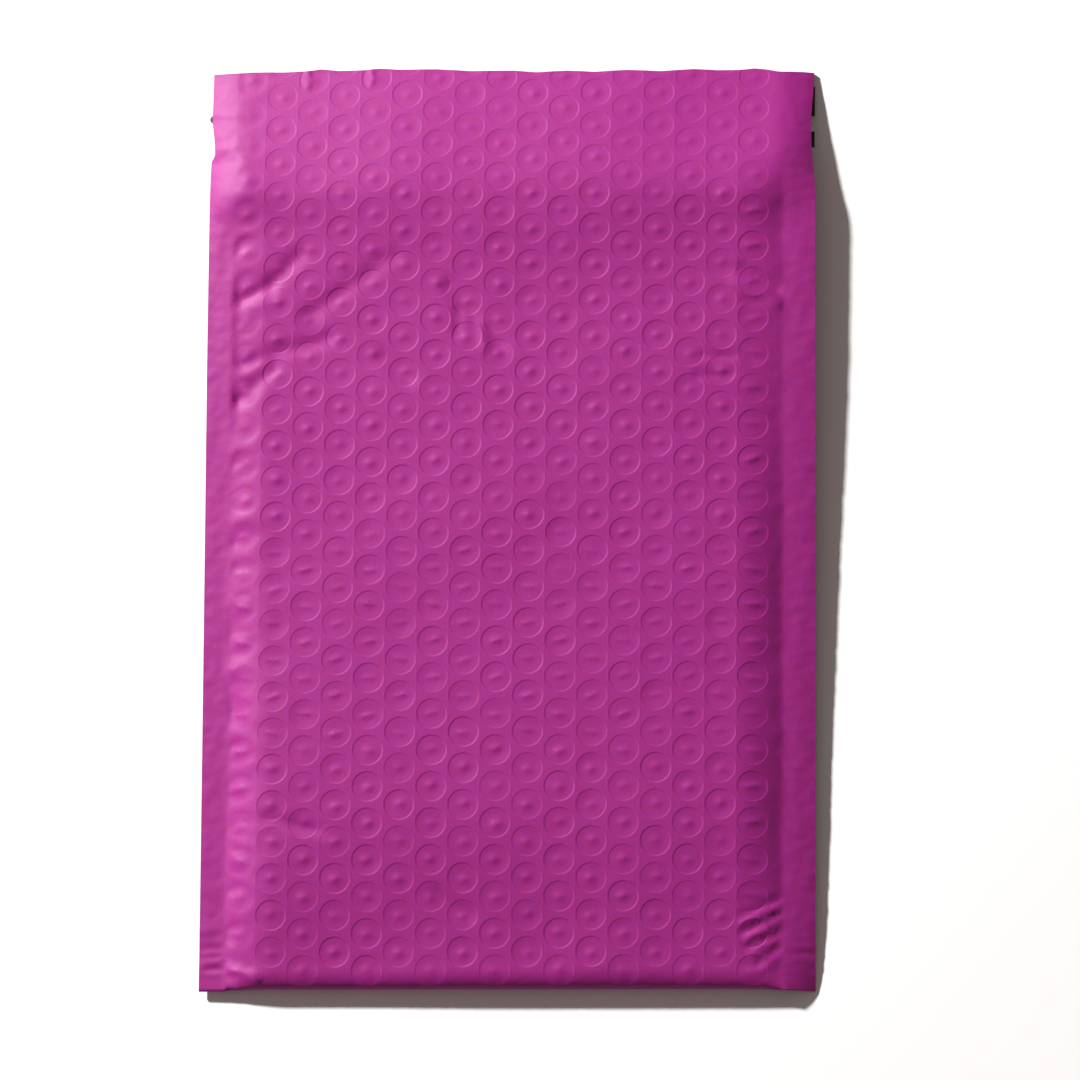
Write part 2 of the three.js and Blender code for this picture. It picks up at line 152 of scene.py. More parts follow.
# From one extreme to the other
DISC_LEAN = 0.05  # slope of a disc
NUB_TURN = 0.7  # radians
NUB_OFF = (0.8 * MM, 1.2 * MM)  # place of a nub, across and along
DRAWN_SPREAD = 0.5  # how far a nub is drawn out
# A nub's half length and half width, and its share of the height
ROUND_NUB = (1.7 * MM, 1.4 * MM, 1)
DRAWN_NUB = (2.1 * MM, 0.85 * MM, 0.7)
SEAM_NUB = (2.8 * MM, 1.1 * MM, 0.9)
DRAWN_START = (70 * MM, 84 * MM)  # half way down the nubs are drawn out across the mailer
DRAWN_END = (140 * MM, 156 * MM)
FLAP_BUBBLES = 0.7  # the flap's are softer
PAST_FOLD = (2 * MM, 8 * MM)  # from the fold: the relief of the back panel grows here
UNDER_FOLD = (9 * MM, 14 * MM)  # and that of the front panel here
SEAM_FADE = (3 * MM, 2 * MM)  # and both over this length from the left and the right seam

# The uneven film: rows of height, patch length along, and its share of the length across
BROAD_WAVES = ((0.45 * MM, 40 * MM, 1), (0.12 * MM, 15 * MM, 1))
LUMPS = ((0.55 * MM, 5 * MM, 0.5), (0.2 * MM, 2.6 * MM, 0.6))
PEBBLES = ((0.16 * MM, 3 * MM, 1),)
PLEATS = ((0.5 * MM, 2.4 * MM, 0.3),)
WAVE_LAYER, LUMP_LAYER, PEBBLE_LAYER, PLEAT_LAYER = 1.5, 3.5, 5.5, 6.5  # slices of the noise
LUMP_START = 2.5 * MM  # the lumps grow over this length from the seam
LUMP_REACH = 7 * MM  # and fade over this one
LEFT_LUMPS, RIGHT_LUMPS, FLAP_LUMPS = 1.4, 0.5, 0.5  # shares of their height
SEAL_START = 2 * MM  # the pebbles and pleats of a seal grow over this length
PLEAT_RUN = (8 * MM, 34 * MM)  # the pleats at the bottom corners end here
RIGHT_PLEATS = 0.25

# Creases of the back panel: ends across and along, reach, and height with a groove negative, in mm
CREASES = (
    ((-89, 227.5), (-79.3, 232.5), 2.4, -0.85),
    ((-79.3, 232.5), (-70, 242), 2.6, -0.65),
    ((-65.7, 222.8), (-38.5, 242), 2.8, -0.5),
    ((-88.5, 206.3), (-60, 214.4), 2.6, -0.6),
    ((-89.7, 194), (-77.6, 204.7), 2.4, -0.75),
    ((-19.5, 231.2), (-3.2, 211.7), 3.0, -0.6),
    ((-17, 223), (-17, 216), 1.6, -0.4),
    ((-9, 219), (-8, 211), 1.8, 0.45),
    ((-41.1, 207.7), (-32.8, 200.7), 3.0, -0.5),
    ((76.2, 237.2), (87.8, 230.2), 1.8, -0.6),
    ((74, 232), (88, 225), 2.0, 0.4),
    ((76.9, 226.1), (83.5, 226.1), 1.4, -0.4),
    ((63.7, 207.7), (73.6, 207.7), 1.5, -0.4),
    ((62.1, 201), (72, 201), 1.5, -0.35),
    ((75.9, 23.6), (88.7, 29.5), 1.4, -0.4),
    ((77, 21.3), (88.4, 27), 1.3, 0.35),
    ((77, 18.6), (88.4, 24.8), 1.3, -0.35),
    ((78, 16.2), (88.2, 21.7), 1.3, 0.3),
    ((78.3, 13.7), (88, 18.6), 1.3, -0.35),
    ((80, 11.5), (88, 16.2), 1.3, 0.25),
    ((82, 8.8), (88, 13.8), 1.2, -0.3),
    ((83, 6.3), (88.5, 10.5), 1.2, 0.25),
    ((-90.9, 6.8), (-80.8, 4.8), 1.3, 0.6),
    ((-77.6, 55.6), (-61.3, 51.6), 2.2, -0.55),
    ((-22.1, 30.5), (-12.3, 24), 2.6, -0.4),
    ((-68, 301), (-68, 308), 1.0, 0.35),
    ((-46.7, 302), (-46.7, 308), 1.0, 0.35),
    ((-99, 292.5), (-90, 291.5), 1.6, 0.22),
    ((-99, 279.5), (-90, 280.5), 1.8, 0.25),
    ((-99, 275), (-92, 275), 1.5, -0.2),
)
CREASE_FADE = 3 * MM  # they fade over this length at the seams

# The strips under the flap, from its free end
WIDE_STRIP_START = 6 * MM
STRIP_SPACE = 5.6 * MM
ADHESIVE = 0.25 * MM  # thickness
LINER = 0.15 * MM
LINER_OVERHANG = 2.6 * MM  # past the narrow strip
LINER_INSET = 1.6 * MM  # from the flap's right edge
LEFT_INSET = 1.3 * MM
RIGHT_INSET = 0.3 * MM
CLEARANCE = 0.25 * MM  # from layer to layer
LAYER_GRID = (200, 24)  # faces across and along
OUTLINE_REACH = 4 * MM  # a drawn-out end pulls at the layer over this length
CORNER_MIDDLE = 1.2 * MM  # from the wide strip's inner edge
CORNER_HALF = 1.8 * MM
TAB_SKEW = 0.25  # the tab reaches further on its side near the mouth

# Grain of the finishes, in patches per millimetre
MOTTLE = 0.42 / MM
ORANGE_PEEL = 0.8 / MM
ADHESIVE_GRAIN = 0.7 / MM
LINER_GRAIN = 0.3 / MM
WEB_LINE = 0.35 * MM  # half the width of the lines between the bubble columns
WEB_RISE = 0.35  # their height, as a share of the film's relief
WARM_PIGMENT = (1.05, 0.5, 0.75)  # shares of the film's red, green and blue
COOL_PIGMENT = (0.96, 1.5, 1.25)

# The stage: camera and window of the photograph, in metres and radians where nothing is said
CAMERA_PLACE = (186.7 * MM, -414.3 * MM, 2247.2 * MM)
CAMERA_TURN = (0.1805, 0.0767, 0.0075)
CAMERA_LENS = 233.3  # millimetres, as the sensor's width
SENSOR = 36.0
FAR_CLIP = 20
WINDOW_SIDE = (-0.656, 0.591, 0.469)  # direction from the mailer
WINDOW_AWAY = 2.6
WINDOW_RADIUS = 0.114
WINDOW_POWER = 510  # watts
FILL_TINT = (1.0, 0.84, 0.77, 1)  # the room's light is warmer than the window's
FILL_STRENGTH = 0.14
FLOOR_HALF = 3
FLOOR_BOUNCE = 0.75  # share of the light that the floor gives back to the mailer
FLOOR_GAIN = 1.17  # share that it gives to the camera


class MailerSizes(bpy.types.PropertyGroup):
    """Sizes of the mailer and its lining"""

    width: FloatProperty(
        name="Width", description="Over both side seals", unit="LENGTH",
        default=POUCH_HIGH.x - POUCH_LOW.x)
    body_length: FloatProperty(
        name="Body length", description="From the bottom fold to the mouth", unit="LENGTH",
        default=264.5 * MM)
    flap_length: FloatProperty(
        name="Flap length", description="From the mouth to the free end", unit="LENGTH",
        default=42.4 * MM)
    sheet: FloatProperty(
        name="Sheet", description="Thickness of film and bubble lining", unit="LENGTH",
        default=3 * MM)
    left_seal: FloatProperty(
        name="Left seal", description="Width of the left side seal", unit="LENGTH",
        default=8.2 * MM)
    right_seal: FloatProperty(
        name="Right seal", description="Width of the right side seal", unit="LENGTH",
        default=10 * MM)
    seal_thickness: FloatProperty(
        name="Seal thickness", description="Two crushed sheets", unit="LENGTH",
        default=0.9 * MM)
    pitch_x: FloatProperty(
        name="Column pitch", description="From bubble column to column", unit="LENGTH",
        default=10.416 * MM)
    pitch_y: FloatProperty(
        name="Bubble pitch", description="From bubble to bubble along a column", unit="LENGTH",
        default=11.9 * MM)
    step_depth: FloatProperty(
        name="Step depth", description="From the film down to a bubble's disc", unit="LENGTH",
        default=0.1 * MM)
    bowl_depth: FloatProperty(
        name="Bowl depth", description="Of a disc's middle below its rim", unit="LENGTH",
        default=0.15 * MM)
    nub_height: FloatProperty(
        name="Nub height", description="Of the raised middle of a disc", unit="LENGTH",
        default=0.37 * MM)


class StripSizes(bpy.types.PropertyGroup):
    """Sizes of the strips and the liner under the flap"""

    wide_strip: FloatProperty(
        name="Wide strip", description="Width of the strip near the free end", unit="LENGTH",
        default=10.6 * MM)
    narrow_strip: FloatProperty(
        name="Narrow strip", description="Width of the strip near the mouth", unit="LENGTH",
        default=5.6 * MM)
    tab_length: FloatProperty(
        name="Tab length", description="Of the liner's finger tab", unit="LENGTH",
        default=12.6 * MM)
    tab_reach: FloatProperty(
        name="Tab reach", description="Of the tab past the flap's edge", unit="LENGTH",
        default=2.7 * MM)
    corner_reach: FloatProperty(
        name="Strip corner", description="Of the wide strip's loose corner past the flap's edge",
        unit="LENGTH", default=1 * MM)


def linear(code):
    """Linear colour of an sRGB hex code."""
    values = [int(code[i : i + 2], 16) / 255 for i in (0, 2, 4)]
    return tuple(v / 12.92 if v <= 0.04045 else ((v + 0.055) / 1.055) ** 2.4 for v in values)


def colour(name, description, code):
    """A colour property with its default from a hex code."""
    return FloatVectorProperty(
        name=name, description=description, subtype="COLOR", size=3, min=0, max=1,
        default=linear(code))


class MailerColours(bpy.types.PropertyGroup):
    """Colours of the finishes"""

    film: colour("Film", "Magenta outer film", "A51785")
    adhesive: colour("Adhesive", "Dark hot-melt strips", "1B191B")
    liner: colour("Liner", "White silicone-coated film", "F3F3F1")
    floor: colour("Floor", "Pale studio floor", "FFFFFF")


def smooth(value, start, end):
    """0 before start, 1 after end, and a smooth step between."""
    t = np.clip((value - start) / (end - start), 0, 1)
    return t * t * (3 - 2 * t)


def shoulder(distance, run):
    """Rise of a shoulder over the distance from its foot, from 0 to 1."""
    left = 1 - np.clip(distance / run, 0, 1)
    return 1 - left * left


def mix(a, b, t):
    """The value between a and b at the share t."""
    return a + (b - a) * t


def cloud(x, y, size, layer):
    """Smooth random values between about -1 and 1, in patches of the given size."""
    return np.array([noise.noise((a, b, layer)) for a, b in zip(x / size, y / size)])


class Lie:
    """How the mailer lies: its height over the floor at x across and s along the sheet.

    s is 0 at the bottom fold, body_length at the mouth and negative round the fold and along
    the front panel underneath.
    """

    def __init__(self, sizes):
        self.sizes = sizes
        self.left_edge = -sizes.width / 2
        self.right_edge = sizes.width / 2
        self.left_seam = self.left_edge + sizes.left_seal
        self.right_seam = self.right_edge - sizes.right_seal
        self.body = sizes.body_length
        self.total = sizes.body_length + sizes.flap_length
        self.flap_start = sizes.sheet + MOUTH_GAP
        self.slope = math.asin(self.flap_start / sizes.flap_length)
        radius = sizes.sheet + FOLD_GAP / 2
        fold_at = FOLD_SETBACK + FOLD_REACH
        self.lip = fold_at - math.pi * (FOLD_REACH + radius) / 2 - (self.body - fold_at)
        self.shift = Vector((
            (POUCH_LOW.x + POUCH_HIGH.x) / 2,
            POUCH_HIGH.y - float(self.along(self.total)),
            0,
        ))

    def along(self, s):
        """Place along the floor."""
        return np.where(s <= self.body, s, self.body + (s - self.body) * math.cos(self.slope))

    def rise(self, x, left_run=LEFT_SHOULDER[0], right_run=RIGHT_SHOULDER):
        """Shoulder that starts at the seams."""
        return np.minimum(
            shoulder(x - self.left_seam, left_run), shoulder(self.right_seam - x, right_run)
        )

    def upper_rise(self, x, s):
        """Shoulder of the upper face, which moves outwards from the seams to the flap's edges."""
        from_left, from_right = x - self.left_seam, self.right_seam - x
        foot = np.interp(s / MM, *zip(*LEFT_FOOT)) * MM
        foot = foot * np.exp(-np.maximum(from_left, 0) / FOOT_REACH)
        waver = RIGHT_WAVER * math.prod(np.sin(s / length) for length in WAVER_LENGTHS)
        waver = (RIGHT_FOOT + waver) * np.exp(-np.maximum(from_right, 0) / FOOT_REACH)
        left_run = mix(*LEFT_SHOULDER, np.clip(s / self.body, 0, 1))
        from_left, from_right = (
            FOOT_ROUND * np.logaddexp(0, away / FOOT_ROUND)
            for away in (from_left - foot, from_right - waver)
        )
        body = np.minimum(shoulder(from_left, left_run), shoulder(from_right, RIGHT_SHOULDER))
        past = s - self.body
        spread = np.where(x < 0, smooth(past, *LEFT_SPREAD), smooth(past, *RIGHT_SPREAD))
        return mix(body, self.flap_rise(x), spread)

    def flap_rise(self, x):
        """Shoulder that starts at the flap's side edges."""
        from_edge = np.minimum(x - self.left_edge, self.right_edge - x)
        return shoulder(from_edge, FLAP_SHOULDER)

    def seal_top(self, x, s):
        """Upper face of the crushed side seals."""
        across = (x - self.left_edge) / self.sizes.width
        up = np.clip(s / self.body, 0, 1)
        left_out = (self.left_seam - x) / self.sizes.left_seal
        right_out = (x - self.right_seam) / self.sizes.right_seal
        left = mix(*LEFT_TILT, up) * (1 - np.clip(left_out, 0, 1))
        right = mix(*RIGHT_TILT, up) * (1 - np.clip(right_out, 0, 1) ** RIGHT_ROLL)
        tilt = np.where(x < 0, left, right)
        foot = mix(LEFT_SEAL_RISE, RIGHT_SEAL_RISE, across)
        mouth = self.flap_start + self.sizes.seal_thickness - self.droop(x, s)
        dip = CORNER_DIP * np.clip(right_out, 0, 1) * np.exp(-np.maximum(s, 0) / CORNER_REACH)
        return mix(foot, mouth, up**SEAL_CURVE) + tilt - dip

    def crown(self, x, s):
        """How far the flap's middle arches over the straight lie."""
        height = FLAP_CROWN * smooth(s, self.body - CROWN_RUN, self.total)
        return height * (1 - (x / self.right_edge) ** 2)

    def droop(self, x, s):
        """How far the side edges hang near the mouth and along the flap."""
        hang = np.interp((s - self.body) / MM, *zip(*FLAP_DROOP)) * MM
        return hang * np.where(x < 0, 1, RIGHT_DROOP)

    def gap(self, x, s):
        """Room between the linings of the two panels."""
        at_mouth = smooth(s, self.body - MOUTH_RIDGE, self.body)
        body = mix(FOLD_GAP, BODY_GAP, 1 - (1 - np.clip(s / self.body, 0, 1)) ** 2)
        sag = mix(*FOLD_SAG, smooth(x, *SAG_CHANGE)) * np.exp(-((s / SAG_REACH) ** 2))
        gap = mix(body, MOUTH_GAP, at_mouth)
        domed = smooth(s, 0, DOME_START) * (1 - at_mouth)
        dome = BODY_DOME * domed * (1 - (x / self.right_edge) ** 2)
        return gap - sag + dome + self.crown(x, s)

    def flap_under(self, x, s):
        """Inner face of the flap, which slopes from the mouth down to the floor."""
        straight = np.maximum(self.total - s, 0) * math.sin(self.slope)
        return straight + self.crown(x, s) - self.droop(x, s) * (1 - self.upper_rise(x, s))

    def top(self, x, s):
        """Outer face of the back panel and its flap, rounded where they meet at the mouth."""
        rise = self.upper_rise(x, s)
        inner_s = np.minimum(s, self.body)
        panel = 2 * self.sizes.sheet + self.gap(x, inner_s)
        body = mix(self.seal_top(x, inner_s), panel, rise)
        flap = self.flap_under(x, s) + mix(self.sizes.seal_thickness, self.sizes.sheet, rise)
        apart = np.abs(body - flap)
        return np.minimum(body, flap) - MOUTH_ROUND * np.log1p(np.exp(-apart / MOUTH_ROUND))

    def under(self, x, s):
        """Outer face of the front panel."""
        rise = self.rise(x, UNDER_SHOULDER, UNDER_SHOULDER)
        return (self.seal_top(x, s) - self.sizes.seal_thickness) * (1 - rise)

    def edge_draw(self, x, s):
        """How far the flap's side edges draw in."""
        from_end = (self.total - s) / MM
        left, right = (np.interp(from_end, *zip(*t)) for t in (LEFT_RECESS, RIGHT_RECESS))
        return np.where(x < 0, left, right) * MM

    def place(self, x, s, outer, relief):
        """Points of the folded sheet, from flat ones and their relief along the outward normal."""
        rise = self.rise(x)
        half_gap = self.gap(x, np.abs(s)) * rise**2 / 2 + HAIR
        high, low = self.top(x, 0), self.under(x, 0)
        radius = (high - low) / 2
        reach = mix(radius, FOLD_REACH, rise)
        fold_at = FOLD_SETBACK * rise + reach
        per_turn = (reach + radius) / 2
        turn_end = fold_at - math.pi * per_turn
        # along the back panel and its flap
        top_s = np.maximum(s, fold_at)
        back_high = self.top(x, top_s)
        middle = (back_high + self.under(x, top_s)) / 2
        inside = np.where(s > self.body, self.flap_under(x, s), middle + half_gap)
        back_z = np.where(outer, back_high + relief, inside - relief)
        back_y = self.along(top_s)
        # along the front panel, which comes back under the body
        share = np.clip((turn_end - s) / (turn_end - self.lip), 0, 1)
        front_y = mix(fold_at, self.body, share)
        front_low = self.under(x, front_y)
        front_middle = (self.top(x, front_y) + front_low) / 2
        front_gap = self.gap(x, front_y) * rise**2 / 2 + HAIR
        front_z = np.where(
            outer, np.maximum(front_low - relief, LIFT_OFF), front_middle - front_gap + relief)
        # round the fold
        turn = np.clip((fold_at - s) / per_turn, 0, math.pi)
        inset = np.where(outer, -relief, radius - half_gap + relief)
        at_fold = (self.top(x, fold_at) + self.under(x, fold_at)) / 2
        grown = (self.top(x, fold_at) - self.under(x, fold_at)) / 2 - inset
        round_y = fold_at - (reach - inset) * np.sin(turn)
        round_z = at_fold + grown * np.cos(turn)
        folded = (s < fold_at) & (s > turn_end)
        y = np.where(folded, round_y, np.where(s >= fold_at, back_y, front_y))
        z = np.where(folded, round_z, np.where(s >= fold_at, back_z, front_z))
        return np.stack([x + self.shift.x, y + self.shift.y, z], axis=1)


def cell_mesh(sizes, rings, segments):
    """One flat six-sided cell: a bubble's rings, and the outline that its neighbours share."""
    bm = bmesh.new()
    bmesh.ops.create_circle(bm, segments=6, radius=1, matrix=Matrix.Rotation(math.pi / 2, 4, "Z"))
    bmesh.ops.subdivide_edges(bm, edges=bm.edges, cuts=segments // 6 - 1)
    bmesh.ops.scale(
        bm, verts=bm.verts, vec=(2 * sizes.pitch_x / 3, sizes.pitch_y / 2 / HEXAGON, 1))
    loop = bm.edges[:]
    for radius in reversed(rings):
        made = bmesh.ops.create_circle(bm, segments=segments, radius=radius)
        ring = list({e for v in made["verts"] for e in v.link_edges})
        for edge in ring:
            edge.smooth = rings is not TOP_RINGS or radius not in DISC_RINGS
        bmesh.ops.bridge_loops(bm, edges=loop + ring)
        loop = ring
    bmesh.ops.contextual_create(bm, geom=loop)
    middle = [f for f in bm.faces if len(f.verts) == segments]
    bmesh.ops.poke(bm, faces=middle)
    mesh = bpy.data.meshes.new("cell")
    bm.to_mesh(mesh)
    bm.free()
    return mesh


def cut_straight(bm, axis, at, side):
    """Cuts the flat field along one axis, and keeps what lies on the other side of the cut."""
    for v in bm.verts:
        if abs(v.co[axis] - at) < SNAP:
            v.co[axis] = at
    bmesh.ops.dissolve_degenerate(bm, edges=bm.edges, dist=MERGE)
    normal = Vector((0, 0, 0))
    normal[axis] = side
    bmesh.ops.bisect_plane(
        bm, geom=bm.verts[:] + bm.edges[:] + bm.faces[:], dist=MERGE / 10,
        plane_co=normal * side * at, plane_no=normal, clear_outer=True)
    bmesh.ops.remove_doubles(bm, verts=bm.verts, dist=2 * MERGE)


def edge_at(bm, axis, at):
    """The open edges that lie along a straight cut."""
    return [
        e for e in bm.edges
        if e.is_boundary and all(abs(v.co[axis] - at) < MERGE for v in e.verts)
    ]


def shorten_edges(bm, axis, at, longest):
    """Cuts the edges of one open side's upper length into short ones."""
    for cuts in range(1, MOST_CUTS + 1):
        edges = [
            e for e in edge_at(bm, axis, at)
            if e.verts[0].co.y > 0 and cuts < e.calc_length() / longest <= cuts + 1
        ]
        bmesh.ops.subdivide_edges(bm, edges=edges, cuts=cuts)


def flat_field(lie, pick_rings, segments, flange_steps):
    """The flat sheet: bubble cells between the seams, and a plain seal along each side."""
    sizes = lie.sizes
    bm = bmesh.new()
    meshes = {}
    first = math.floor((lie.left_seam - COLUMN_OFFSET) / sizes.pitch_x)
    last = math.ceil((lie.right_seam - COLUMN_OFFSET) / sizes.pitch_x)
    lowest = math.floor((lie.lip - FIRST_BUBBLE) / sizes.pitch_y) - 1
    highest = math.ceil((lie.total - FIRST_BUBBLE) / sizes.pitch_y)
    for column in range(first, last + 1):
        for row in range(lowest, highest + 1):
            x = COLUMN_OFFSET + column * sizes.pitch_x
            s = FIRST_BUBBLE + (row + column % 2 / 2) * sizes.pitch_y
            rings = pick_rings(x, s)
            if rings not in meshes:
                meshes[rings] = [cell_mesh(sizes, rings, segments), Vector((0, 0, 0))]
            mesh, at = meshes[rings]
            place = Vector((x, s, 0))
            mesh.transform(Matrix.Translation(place - at))
            meshes[rings][1] = place
            bm.from_mesh(mesh)
    bmesh.ops.remove_doubles(bm, verts=bm.verts, dist=MERGE)
    for mesh, _ in meshes.values():
        bpy.data.meshes.remove(mesh)
    cut_straight(bm, 0, lie.left_seam, -1)
    cut_straight(bm, 0, lie.right_seam, 1)
    cut_straight(bm, 1, lie.lip, -1)
    cut_straight(bm, 1, lie.total, 1)
    for seam, width, side in (
        (lie.left_seam, sizes.left_seal, -1), (lie.right_seam, sizes.right_seal, 1)
    ):
        if flange_steps > 1:
            shorten_edges(bm, 0, seam, FLANGE_EDGE)
        for step in range(flange_steps):
            edges = edge_at(bm, 0, seam + side * width * step / flange_steps)
            made = bmesh.ops.extrude_edge_only(bm, edges=edges)
            verts = [g for g in made["geom"] if isinstance(g, bmesh.types.BMVert)]
            bmesh.ops.translate(bm, verts=verts, vec=(side * width / flange_steps, 0, 0))
    return bm


def zip_edges(bm, first, second, axis):
    """Faces between two runs of corners, matched by their places along one axis."""
    first = sorted(first, key=lambda v: v.co[axis])
    second = sorted(second, key=lambda v: v.co[axis])
    i = j = 0
    while i < len(first) - 1 or j < len(second) - 1:
        if j == len(second) - 1 or (
            i < len(first) - 1 and first[i + 1].co[axis] <= second[j + 1].co[axis]
        ):
            bm.faces.new((first[i], first[i + 1], second[j]))
            i += 1
        else:
            bm.faces.new((first[i], second[j + 1], second[j]))
            j += 1


def flat_slab(lie):
    """The whole sheet laid out flat: its outer face at z 0 and its lining's face below."""
    def outer_rings(x, s):
        inside = lie.left_seam < x < lie.right_seam
        if s < UNDER_START:
            return UNDER_RINGS if inside else NO_RINGS
        if x < lie.left_seam or x > lie.right_seam + lie.sizes.pitch_x / 4:
            return NO_RINGS
        if inside and x - lie.left_seam > lie.sizes.pitch_x / 2 and s > TOP_START:
            return TOP_RINGS
        return SEAM_RINGS

    def inner_rings(x, s):
        return UNDER_RINGS if s > lie.body else NO_RINGS

    outer = flat_field(lie, outer_rings, CELL_SEGMENTS, FLANGE_STEPS)
    inner = flat_field(lie, inner_rings, LINING_SEGMENTS, 1)
    bmesh.ops.translate(inner, verts=inner.verts, vec=(0, 0, -lie.sizes.sheet))
    mesh = bpy.data.meshes.new("lining")
    inner.to_mesh(mesh)
    inner.free()
    outer.from_mesh(mesh)
    bpy.data.meshes.remove(mesh)
    bm = outer
    for axis, at in ((0, lie.left_edge), (0, lie.right_edge), (1, lie.lip), (1, lie.total)):
        rim = edge_at(bm, axis, at)
        for edge in rim:
            edge.smooth = False
        verts = {v for e in rim for v in e.verts}
        high = [v for v in verts if v.co.z > -lie.sizes.sheet / 2]
        low = [v for v in verts if v.co.z < -lie.sizes.sheet / 2]
        zip_edges(bm, high, low, 1 - axis)
    bmesh.ops.recalc_face_normals(bm, faces=bm.faces)
    bmesh.ops.triangulate(bm, faces=bm.faces)
    return bm


def cell_of(lie, x, s):
    """Each point's nearest bubble: how far, its column and number, and the way from its middle."""
    sizes = lie.sizes
    best = None
    base = np.floor((x - COLUMN_OFFSET) / sizes.pitch_x)
    for column in (base, base + 1):
        odd = column % 2
        row = np.round((s - FIRST_BUBBLE) / sizes.pitch_y - odd / 2)
        dx = x - COLUMN_OFFSET - column * sizes.pitch_x
        ds = s - FIRST_BUBBLE - (row + odd / 2) * sizes.pitch_y
        away = np.hypot(dx, ds)
        found = (away, column, column * MOST_ROWS + row, dx, ds)
        if best is None:
            best = found
        else:
            nearer = away < best[0]
            best = [np.where(nearer, new, old) for new, old in zip(found, best)]
    return best


def bubble_relief(lie, x, s):
    """Height of the discs and their nubs over the sheet's mean face."""
    away, column, number, dx, ds = cell_of(lie, x, s)
    numbers, back = np.unique(number, return_inverse=True)
    rng = np.random.default_rng(RANDOM_SEED)
    draws = rng.random((len(numbers), 9))[back].T
    size = lie.sizes
    foot, brim = DISC_RINGS
    depth = size.step_depth * mix(*STEP_SPREAD, draws[0])
    step = -depth * (1 - np.clip((away - foot) / (brim - foot), 0, 1))
    inside = 1 - np.minimum(away / foot, 1) ** 2
    bowl = -size.bowl_depth * mix(*BOWL_SPREAD, draws[1]) * inside
    lean = (dx * (draws[2] - 0.5) + ds * (draws[3] - 0.5)) * DISC_LEAN * inside
    # the nub may be drawn out, and it is turned and off the middle a little
    drawn = smooth(s, *DRAWN_START) * (1 - smooth(s, *DRAWN_END))
    drawn = np.clip(drawn + (draws[4] - 0.5) * DRAWN_SPREAD, 0, 1)
    beside = (column == LAST_COLUMN) & (s > 0) & (s < lie.body)
    turn = (draws[5] - 0.5) * NUB_TURN
    off_x, off_s = (draws[6] - 0.5) * NUB_OFF[0], (draws[7] - 0.5) * NUB_OFF[1]
    u = (dx - off_x) * np.cos(turn) + (ds - off_s) * np.sin(turn)
    v = (ds - off_s) * np.cos(turn) - (dx - off_x) * np.sin(turn)
    long, short, share = (
        np.where(beside, seam, mix(plain, out, drawn))
        for seam, plain, out in zip(SEAM_NUB, ROUND_NUB, DRAWN_NUB)
    )
    height = size.nub_height * mix(*NUB_SPREAD, draws[8]) * share
    nub = height * np.exp(-((u / long) ** 2 + (v / short) ** 2))
    # there are none past the last column, in the right seal's valley
    shown = np.where(column > LAST_COLUMN, 0, 1) * np.where(s > lie.body, FLAP_BUBBLES, 1)
    return (step + bowl + lean + nub) * shown


def crease_relief(lie, x, s):
    """Height of the creases on the back panel and its flap."""
    total = np.zeros_like(x)
    for start, end, reach, height in CREASES:
        ax, ay = start[0] * MM, start[1] * MM
        dx, dy = end[0] * MM - ax, end[1] * MM - ay
        length = math.hypot(dx, dy)
        t = ((x - ax) * dx + (s - ay) * dy) / length**2
        across = ((s - ay) * dx - (x - ax) * dy) / length / (reach * MM)
        beyond = np.maximum(0, np.abs(t - 0.5) - 0.5) * length / (reach * MM)
        total += height * MM * np.exp(-(across**2) - beyond**2)
    return total * np.where(s > lie.body, 1, lie.rise(x, CREASE_FADE, CREASE_FADE))


def waves(x, s, rows, layer):
    """Sum of clouds: a row has a height, a length along, and its share of the length across."""
    return sum(
        height * cloud(x * share, s, size, layer + number)
        for number, (height, size, share) in enumerate(rows)
    )


def crush_relief(lie, x, s):
    """Height of the uneven film: broad waves, lumps along the shoulders and the crushed seals."""
    broad = waves(x, s, BROAD_WAVES, WAVE_LAYER)
    from_seam = np.minimum(x - lie.left_seam, lie.right_seam - x)
    near = smooth(from_seam, 0, LUMP_START) * np.exp(-np.maximum(from_seam, 0) / LUMP_REACH)
    near = near * np.where(s > lie.body, FLAP_LUMPS, 1) * np.where(x < 0, LEFT_LUMPS, RIGHT_LUMPS)
    lumps = waves(x, s, LUMPS, LUMP_LAYER)
    sealed = smooth(-from_seam, 0, SEAL_START)
    pebbles = waves(x, s, PEBBLES, PEBBLE_LAYER)
    low = (1 - smooth(s, *PLEAT_RUN)) * np.where(x < 0, 1, RIGHT_PLEATS)
    pleats = low * waves(x, s, PLEATS, PLEAT_LAYER)
    return broad * lie.rise(x) + near * lumps + sealed * (pebbles + pleats)


def pouch_mesh(lie):
    """The folded sheet as a mesh."""
    bm = flat_slab(lie)
    mesh = bpy.data.meshes.new("pouch_sheet")
    bm.to_mesh(mesh)
    bm.free()
    flat = np.empty(len(mesh.vertices) * 3)
    mesh.vertices.foreach_get("co", flat)
    x, s, depth = flat.reshape(-1, 3).T
    outer = depth > -lie.sizes.sheet / 2
    upper = outer & (s > 0)
    padded = lie.rise(x, *SEAM_FADE)
    past_fold = np.maximum(smooth(s, *PAST_FOLD), smooth(-s, *UNDER_FOLD))
    relief = bubble_relief(lie, x, s) * padded * past_fold
    relief[upper] += crease_relief(lie, x[upper], s[upper])
    relief[upper] += crush_relief(lie, x[upper], s[upper]) * past_fold[upper]
    drawn = x - np.sign(x) * lie.edge_draw(x, s) * smooth(np.abs(x), lie.right_seam, lie.right_edge)
    cuts = np.interp(x / MM, *zip(*FREE_END)) * MM
    cut = s - cuts * smooth(s, lie.total - FREE_END_DEPTH, lie.total)
    placed = lie.place(drawn, cut, outer, relief)
    mesh.vertices.foreach_set("co", placed.ravel())
    mesh.shade_smooth()
    mesh.update()
    return mesh


